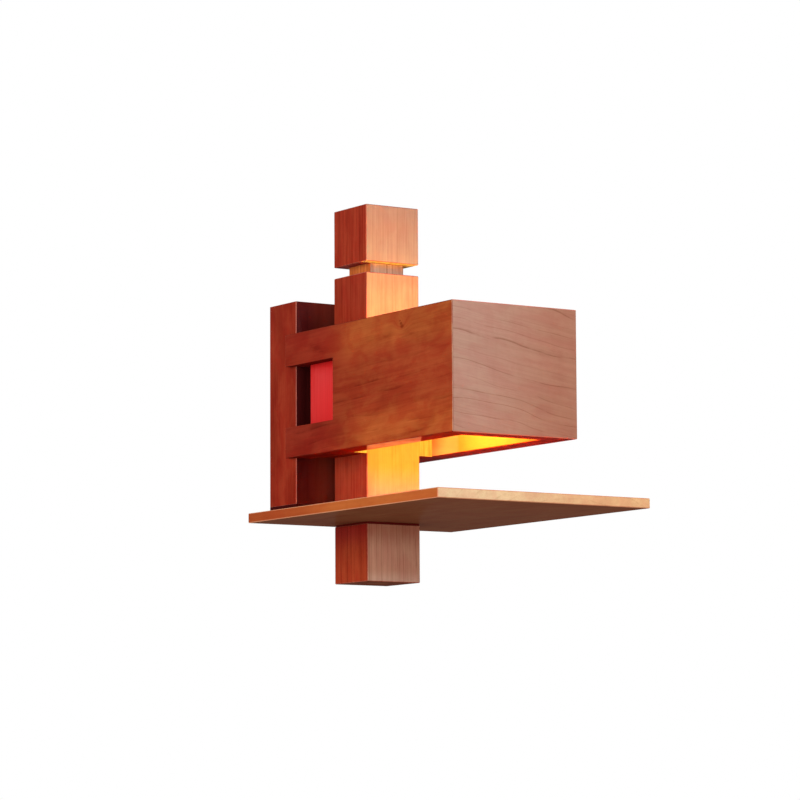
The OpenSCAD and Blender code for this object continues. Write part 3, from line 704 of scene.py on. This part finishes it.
def slottedScrewTree():
    wire, given = sizedTree("slottedScrew", ["Head Width", "Head Height", "Shank Width", "Shank Length",
                                             "Thread Pitch", "Slot Width", "Slot Depth", "Point Length"])
    headWidth, headHeight = given["Head Width"], given["Head Height"]
    width, length = given["Shank Width"], given["Shank Length"]
    x, y, z = position(wire)

    # a domed head: its top falls away from the middle
    middle = wire.times(headHeight, 0.5)
    head = moved(wire, cylinder(wire, headWidth, headHeight, around=40, rings=5), (0.0, 0.0, middle))
    out = wire.plus(wire.times(x, x), wire.times(y, y))
    share = wire.over(out, wire.math("POWER", wire.times(headWidth, 0.5), 2.0))
    drop = wire.times(wire.times(share, headHeight), -screwShares["domeFall"])
    head = moved(wire, head, (0.0, 0.0, drop), wire.math("GREATER_THAN", z, middle))
    cutterSize = wire.vector(wire.times(headWidth, screwShares["cutter"]), given["Slot Width"],
                             wire.times(given["Slot Depth"], 2.0))
    cutter = wire.add("GeometryNodeMeshCube", Size=cutterSize)
    cutter = moved(wire, cutter.outputs[0], (0.0, 0.0, headHeight))
    slotted = wire.add("GeometryNodeMeshBoolean", {"operation": "DIFFERENCE", "solver": "EXACT"},
                       Mesh_1=head, Mesh_2=cutter).outputs[0]

    core = cylinder(wire, wire.times(width, screwShares["core"]), length, around=20, sides=14)
    core = moved(wire, core, (0.0, 0.0, wire.times(length, -0.5)))
    # the thread stops short of the head and of the point
    bare = wire.times(width, screwShares["bareEnd"])
    run = wire.minus(length, wire.times(bare, 2.0))
    radius = wire.times(width, screwShares["threadRadius"])
    spiral = wire.add("GeometryNodeCurveSpiral", Resolution=16, Start_Radius=radius, End_Radius=radius,
                      Rotations=wire.over(run, given["Thread Pitch"]), Height=run)
    ridge = circle(wire, wire.times(width, screwShares["ridgeRadius"]), around=5)
    thread = moved(wire, tube(wire, spiral.outputs[0], ridge), (0.0, 0.0, wire.minus(bare, length)))
    # the shank runs to a point
    taper = wire.spread(wire.plus(z, length), 0.0, given["Point Length"],
                        -screwShares["pointLoss"], 0.0, smooth=False)
    shank = moved(wire, joined(wire, core, thread), (wire.times(x, taper), wire.times(y, taper), 0.0))
    return endTree(wire, given, setOnSeats(wire, given, joined(wire, slotted, shank), twist=3.0))


slottedScrews = {    # sizes and seats in mm; a seat is a place and the way the head faces
    "casing_screws": {"Head Width": 8.0, "Head Height": 2.6, "Shank Width": 4.0, "Shank Length": 13.0,
                      "Thread Pitch": 0.7, "Slot Width": 1.1, "Slot Depth": 1.1, "Point Length": 0.8,
                      "seats": [((0, -10, 82), (0, 0, 1)), ((0, -10, -82), (0, 0, -1))]},
    "tine_screws": {"Head Width": 6.6, "Head Height": 2.4, "Shank Width": 3.5, "Shank Length": 30.0,
                    "Thread Pitch": 1.6, "Slot Width": 0.9, "Slot Depth": 1.0, "Point Length": 5.0,
                    "seats": [((x, -32.5, z), (0, 1, 0)) for x in (-40.6, 40.6) for z in (-32.9, 41.85)]},
    "earth_screw": {"Head Width": 8.0, "Head Height": 2.4, "Shank Width": 4.0, "Shank Length": 2.0,
                    "Thread Pitch": 0.7, "Slot Width": 1.1, "Slot Depth": 1.1, "Point Length": 0.2,
                    "seats": [((0, -2, -58), (0, -1, 0))]},
    "terminal_fixing": {"Head Width": 5.6, "Head Height": 2.0, "Shank Width": 3.0, "Shank Length": 11.0,
                        "Thread Pitch": 0.5, "Slot Width": 0.8, "Slot Depth": 0.8, "Point Length": 0.6,
                        "seats": [((0, -11, 32.5), (0, -1, 0))]},
}
screwTree = slottedScrewTree()
for node, look in slottedScrews.items():
    sizes = {key: value * mm for key, value in look.items() if key != "seats"}
    growPiece(node + "_slotted", seats(node + "_seats", look["seats"]), screwTree, sizes, node)
print("slotted screws made")


def flutedDowelTree():
    wire, given = sizedTree("flutedDowel", ["Width", "Length", "Flutes", "Flute Depth", "Chamfer"])
    x, y, z = position(wire)
    half = wire.times(given["Length"], 0.5)
    radius = wire.times(given["Width"], 0.5)
    body = cylinder(wire, given["Width"], given["Length"], around=80, sides=3)
    # the inner rings go out to where the chamfers start
    away = wire.math("ABSOLUTE", z)
    outwards = wire.times(wire.math("SIGN", z), wire.minus(wire.minus(half, given["Chamfer"]), away))
    isInner = wire.math("LESS_THAN", away, wire.times(half, 0.6))
    body = moved(wire, body, (0.0, 0.0, outwards), isInner)
    turn = wire.times(wire.math("ARCTAN2", y, x), given["Flutes"])
    groove = wire.times(wire.minus(wire.math("COSINE", turn), 1.0),
                        wire.over(given["Flute Depth"], wire.times(radius, 2.0)))
    atEnd = wire.math("GREATER_THAN", away, wire.minus(half, wire.times(given["Chamfer"], 0.5)))
    pull = wire.minus(groove, wire.times(atEnd, wire.over(given["Chamfer"], radius)))
    body = moved(wire, body, (wire.times(x, pull), wire.times(y, pull), 0.0))
    return endTree(wire, given, setOnSeats(wire, given, body))


columnMiddle = -79.25    # the column's middle line, from the wall, in mm
fluting = {"Flutes": 20.0, "Flute Depth": 0.35 * mm, "Chamfer": 0.9 * mm}
flutedDowels = {
    "neck_dowel": {"Width": 10.0, "Length": 38.8, "seats": [((0, columnMiddle, 104.7), (0, 0, 1))]},
    "cheek_dowels": {"Width": 8.0, "Length": 36.0,
                     "seats": [((x, columnMiddle, z), (1, 0, 0)) for x in (-31, 31) for z in (-32.9, 41.85)]},
    "shelf_dowels": {"Width": 6.0, "Length": 39.1,
                     "seats": [((x, columnMiddle, -96.25), (0, 0, 1)) for x in (-15, 15)]},
}
dowelTree = flutedDowelTree()
for node, look in flutedDowels.items():
    sizes = dict(fluting, Width=look["Width"] * mm, Length=look["Length"] * mm)
    growPiece(node + "_fluted", seats(node + "_seats", look["seats"]), dowelTree, sizes, node)
print("fluted dowels made")


def leadTree():
    wire, given = sizedTree("leadAlongPath", ["Width", "Bend Radius"])
    route = wire.add("GeometryNodeMeshToCurve", Mesh=given["Geometry"]).outputs[0]
    bent = wire.add("GeometryNodeFilletCurve", Curve=route, Radius=given["Bend Radius"], Limit_Radius=True)
    bent.mode = "POLY"
    next(socket for socket in bent.inputs if socket.name == "Count").default_value = 8
    section = circle(wire, wire.times(given["Width"], 0.5), around=14)
    return endTree(wire, given, tube(wire, bent.outputs[0], section))


leadLook = {
    "sizes": {"Width": 2.0 * mm, "Bend Radius": 2.6 * mm},
    "route": [(7, -113.8, 4.8), (1.3, -113.8, 4.8), (1.3, -14, 4.8), (4.5, -9, 14.8), (4.5, -9, 32.5)],
    "sides": {"live_lead": -1, "neutral_lead": 1},
}
wireTree = leadTree()
for node, side in leadLook["sides"].items():
    route = [Vector((side * x, y, z)) * mm for x, y, z in leadLook["route"]]
    path = bpy.data.meshes.new(node + "_route")
    path.from_pydata(route, [(i, i + 1) for i in range(len(route) - 1)], [])
    growPiece(node + "_insulation", path, wireTree, leadLook["sizes"], node)
print("leads made")


def eased(profile, radius, steps=4, most=0.45):
    # the profile with every corner rounded, over no more than that share of either side
    result = []
    for i, corner in enumerate(profile):
        corner = Vector(corner)
        before, after = Vector(profile[i - 1]) - corner, Vector(profile[(i + 1) % len(profile)]) - corner
        cut = min(radius, before.length * most, after.length * most)
        start, end = corner + before.normalized() * cut, corner + after.normalized() * cut
        for step in range(steps + 1):
            t = step / steps
            result.append(start * (1 - t) ** 2 + corner * 2 * t * (1 - t) + end * t ** 2)
    return result


def turned(name, profile, start, segments=72):
    # spins a closed profile of radius and distance, in mm, round a line that runs out from the wall
    work = bmesh.new()
    rings = []
    for k in range(segments):
        angle = 2 * math.pi * k / segments
        rings.append([work.verts.new((r * math.sin(angle) * mm, (start[1] - out) * mm,
                                      (start[2] + r * math.cos(angle)) * mm)) for r, out in profile])
    for k in range(segments):
        here, there = rings[k], rings[(k + 1) % segments]
        for i in range(len(profile)):
            j = (i + 1) % len(profile)
            if profile[i][0] > 1e-6 or profile[j][0] > 1e-6:
                work.faces.new((here[i], here[j], there[j], there[i]))
    bmesh.ops.remove_doubles(work, verts=work.verts, dist=1e-7)
    bmesh.ops.recalc_face_normals(work, faces=work.faces)
    mesh = bpy.data.meshes.new(name)
    work.to_mesh(mesh)
    work.free()
    return mesh


def stepped(corners, counts):
    # a profile through the corners, with each straight part cut into so many
    result = []
    for start, end, count in zip(corners, corners[1:], counts):
        for i in range(count):
            result.append(tuple(a + (b - a) * i / count for a, b in zip(start, end)))
    return result + [corners[-1]]


holderAxis = (0, -103.5, 4.8)    # where the lampholder's middle line leaves the post
turnedParts = {                  # profiles of radius and distance from the start, in mm
    "lampholder_cap": dict(ease=0.8, start=holderAxis, profile=[
        (5.15, 0), (17, 0), (19, 2), (19, 12), (17, 12), (17, 3), (8, 3), (8, 9), (5.15, 9)]),
    "lampholder_body": dict(ease=0.7, start=holderAxis, profile=[
        (2.05, 12), (14.95, 12), (14.95, 9.5), (16.95, 9.5), (16.95, 12), (19, 12), (19, 36.5), (20.5, 38),
        (20.5, 41), (19.5, 42), (14.4, 42), (14.4, 18), (2.05, 18)]),
    "cable_bush": dict(ease=0.5, start=(0, 0, -28), profile=[
        (4.5, 0), (5.5, 0), (5.5, 2), (8, 2), (8, 3), (6.75, 4), (4.5, 4)]),
}
for node, look in turnedParts.items():
    mesh = turned(node + "_turned", eased(look["profile"], look["ease"]), look["start"])
    mesh.materials.append(finishes[slotOf[node]])
    showRound(mesh)
    finishPiece(addObject(node + "_turned", mesh), [node])

bulbShape = {                    # in mm, with distances from where the lampholder's line leaves the post
    "radius": 30.0, "wall": 1.2, "neck": 12.45, "foot": 44.0, "middle": 101.0, "coneFoot": 48.0,
    "coneAngle": 19.33, "shoulder": 0.6,
}


def envelopeOutline(inset):
    # a globe that runs tangent into a cone, down to the neck in the cap
    radius, neck = bulbShape["radius"] - inset, bulbShape["neck"] - inset
    middle, coneFoot = bulbShape["middle"], bulbShape["coneFoot"]
    slope = math.radians(bulbShape["coneAngle"])
    steps = 44
    turns = [-slope + (math.pi / 2 + slope) * i / steps for i in range(steps)]
    globe = [(radius * math.cos(a), middle + radius * math.sin(a)) for a in turns] + [(0.0, middle + radius)]
    coneStart = (radius / math.cos(slope) - (middle - coneFoot) * math.tan(slope), coneFoot)
    neckLine = stepped([(neck, bulbShape["foot"]), (neck, coneFoot - bulbShape["shoulder"])], counts=[3])
    return neckLine + stepped([coneStart, globe[0]], counts=[10])[:-1] + globe


outline = envelopeOutline(0.0) + envelopeOutline(bulbShape["wall"])[::-1]
envelope = turned("bulb_envelope", outline, holderAxis, segments=96)
envelope.materials.append(finishes["bulb_glass"])
showRound(envelope, angle=60)
finishPiece(addObject("bulb_envelope", envelope), ["bulb_glass"])
print("porcelain and bulb turned")


def rolledThreadTree():
    # presses a round screw thread into a thin shell whose line runs out from the wall
    wire, given = sizedTree("rolledThread", ["Axis Height", "Pitch", "Depth",
                                             "Near End", "Far End", "Run Out"])
    x, y, z = position(wire)
    z = wire.minus(z, given["Axis Height"])
    turn = wire.minus(wire.times(wire.over(y, given["Pitch"]), 2 * math.pi), wire.math("ARCTAN2", x, z))
    groove = wire.minus(wire.times(wire.math("COSINE", turn), 0.5), 0.5)
    out = wire.times(y, -1.0)
    starts = wire.spread(out, given["Near End"], wire.plus(given["Near End"], given["Run Out"]))
    ends = wire.spread(out, given["Far End"], wire.minus(given["Far End"], given["Run Out"]))
    pull = wire.times(wire.times(groove, given["Depth"]), wire.times(starts, ends))
    pull = wire.over(pull, wire.away(x, z))
    shape = moved(wire, given["Geometry"], (wire.times(x, pull), 0.0, wire.times(z, pull)))
    return endTree(wire, given, shape)


threadTree = rolledThreadTree()
threadLook = {"Axis Height": holderAxis[2] * mm, "Pitch": 3.63 * mm, "Depth": 0.85 * mm, "Run Out": 1.2 * mm}
rolledShells = {
    "bulb_cap": dict(
        ends=(132.6, 146.6), counts=(4, 60, 1, 60, 4),
        corners=[(11.05, 27), (13, 28.5), (13, 48), (12.5, 48), (12.5, 28.8), (11.05, 27.6)]),
    "lampholder_shell": dict(
        ends=(123.2, 141.6), counts=(6, 64, 1, 62, 6),
        corners=[(8.1, 18), (14.1, 18), (14.1, 39), (13.5, 39), (13.5, 18.6), (8.1, 18.6)]),
}
for node, look in rolledShells.items():
    sizes = dict(threadLook, **{"Near End": look["ends"][0] * mm, "Far End": look["ends"][1] * mm})
    blank = turned(node + "_blank", stepped(look["corners"], look["counts"]), holderAxis)
    growPiece(node + "_rolled", blank, threadTree, sizes, node)
print("threads rolled")

easedParts = {    # how far each part's edges are rounded, in mm
    "wall_bracket": 0.35, "terminal_block": 0.4, "terminal_clamps": 0.1, "support_tube": 0.3,
    "spacer_sleeve": 0.3, "tube_washer": 0.15, "tube_nut": 0.25, "centre_contact": 0.08,
    "bulb_insulator": 0.2, "bulb_contact": 0.3, "shelf_bolt": 0.4, "bolt_washer": 0.15, "bolt_insert": 0.25,
}
for node, width in easedParts.items():
    softened(node, finishes[slotOf[node]], width * mm, "_eased")
print("metal, plastic and glass pieces made")


def backdropRays(wire):
    # 1 for the rays that show the pale room itself, 0 for those that light the lamp
    rays = wire.add("ShaderNodeLightPath").outputs
    reflected = wire.plus(rays["Is Glossy Ray"], rays["Is Transmission Ray"])
    return wire.math("ADD", rays["Is Camera Ray"], reflected, clamp=True)


floorLook = {
    "colour": (236, 236, 234),
    "height": -1.5,            # well below the lamp, which hangs on a wall
    "reach": 4.5,
    "middle": -0.2,
    "lift": 0.62,              # how strongly it shows to the rays that see the room
}
floorMaterial, floorWire, floorShader = newMaterial("paleFloor")
floorShader.inputs["Base Color"].default_value = paint(*floorLook["colour"])
floorShader.inputs["Roughness"].default_value = 0.8
floorShader.inputs["Specular IOR Level"].default_value = 0.1
floorShader.inputs["Emission Color"].default_value = paint(*floorLook["colour"])
floorWire.put(floorShader.inputs["Emission Strength"],
              floorWire.times(backdropRays(floorWire), floorLook["lift"]))
floorMesh = bpy.data.meshes.new("floor")
floorCorners = [(x * floorLook["reach"], floorLook["middle"] + y * floorLook["reach"], floorLook["height"])
                for x, y in ((-1, -1), (1, -1), (1, 1), (-1, 1))]
floorMesh.from_pydata(floorCorners, [], [(0, 1, 2, 3)])
floorMesh.materials.append(floorMaterial)
addObject("floor", floorMesh)

worldLook = {"room": (0.45, 0.45, 0.46, 1.0), "background": (1.0, 1.0, 1.0, 1.0)}
world = bpy.data.worlds.new("softRoom")
bpy.context.scene.world = world
world.use_nodes = True
world.node_tree.nodes.clear()
sky = Wiring(world.node_tree)
skyColour = sky.blend(backdropRays(sky), worldLook["room"], worldLook["background"])
background = sky.add("ShaderNodeBackground", Color=skyColour, Strength=1.0)
worldOut = sky.add("ShaderNodeOutputWorld")
world.node_tree.links.new(background.outputs[0], worldOut.inputs[0])

lightLook = {
    "keyFront": dict(place=(0.55, -1.5, 0.75), size=0.9, power=17.0, colour=(1.0, 0.95, 0.90)),
    "fillLeft": dict(place=(-1.5, -0.5, 0.15), size=1.1, power=16.0, colour=(1.0, 0.97, 0.94)),
    "fillLow": dict(place=(0.1, -1.5, -1.0), size=1.0, power=5.0, colour=(1.0, 0.97, 0.94)),
}
lampMiddle = Vector((0.0, -0.17, 0.0))
for name, look in lightLook.items():
    light = bpy.data.lights.new(name, "AREA")
    light.shape = "SQUARE"
    light.size = look["size"]
    light.energy = look["power"]
    light.color = look["colour"]
    holder = addObject(name, light)
    holder.location = look["place"]
    holder.rotation_mode = "QUATERNION"
    holder.rotation_quaternion = (lampMiddle - Vector(look["place"])).to_track_quat("-Z", "Y")

cameraLook = {
    "place": (-1.549447, -2.489003, -0.327361),
    "turn": 33.1146, "tilt": 6.5356, "roll": -0.2824,   # degrees
    "lens": 161.485, "sensor": 36.0, "farEnd": 50.0,
}
turn, tilt, roll = (math.radians(cameraLook[k]) for k in ("turn", "tilt", "roll"))
forward = Vector((math.sin(turn) * math.cos(tilt), math.cos(turn) * math.cos(tilt), math.sin(tilt)))
right = Vector((math.cos(turn), -math.sin(turn), 0))
up = right.cross(forward)
rolledRight = right * math.cos(roll) + up * math.sin(roll)
rolledUp = up * math.cos(roll) - right * math.sin(roll)
camera = bpy.data.cameras.new("photoView")
camera.lens = cameraLook["lens"]
camera.sensor_width = cameraLook["sensor"]
camera.clip_end = cameraLook["farEnd"]
cameraFrame = Matrix((rolledRight, rolledUp, -forward)).transposed().to_4x4()
cameraFrame.translation = Vector(cameraLook["place"])
cameraHolder = addObject("photoView", camera)
cameraHolder.matrix_world = cameraFrame
bpy.context.scene.camera = cameraHolder
bpy.context.scene.view_settings.view_transform = "Standard"
print("room, light and camera set")
